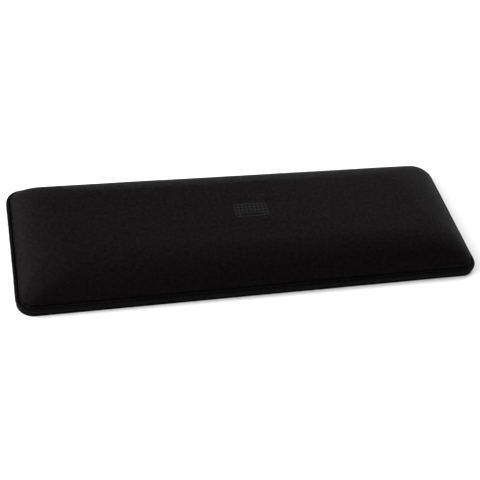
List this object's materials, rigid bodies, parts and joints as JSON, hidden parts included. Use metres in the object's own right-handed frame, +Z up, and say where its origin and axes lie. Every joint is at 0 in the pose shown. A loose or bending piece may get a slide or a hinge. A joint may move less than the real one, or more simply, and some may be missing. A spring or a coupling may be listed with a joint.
{
  "type": "wrist rest",
  "caption": "Long padded keyboard wrist rest with a black cloth cover, a stitched rounded edge and a thin rubber base.",
  "frame": {"origin": "middle of the underside, on the desk", "axes": "+X along the pad to the user's right, +Y away from the user towards the keyboard, +Z up"},
  "size_m": [0.3, 0.1, 0.025],
  "materials": {
    "rubber": "matte",
    "thread": "matte",
    "glue_film": "satin",
    "core_foam": "matte",
    "laminate_foam": "matte",
    "cloth": "matte",
    "mark_film": "matte"
  },
  "bodies": {
    "root": {"rubber_base": "rubber", "bobbin_thread": "thread", "base_adhesive": "glue_film", "foam_core": "core_foam", "padding_layer": "laminate_foam", "face_fabric": "cloth", "needle_thread": "thread", "printed_mark": "mark_film"}
  },
  "joints": []
}
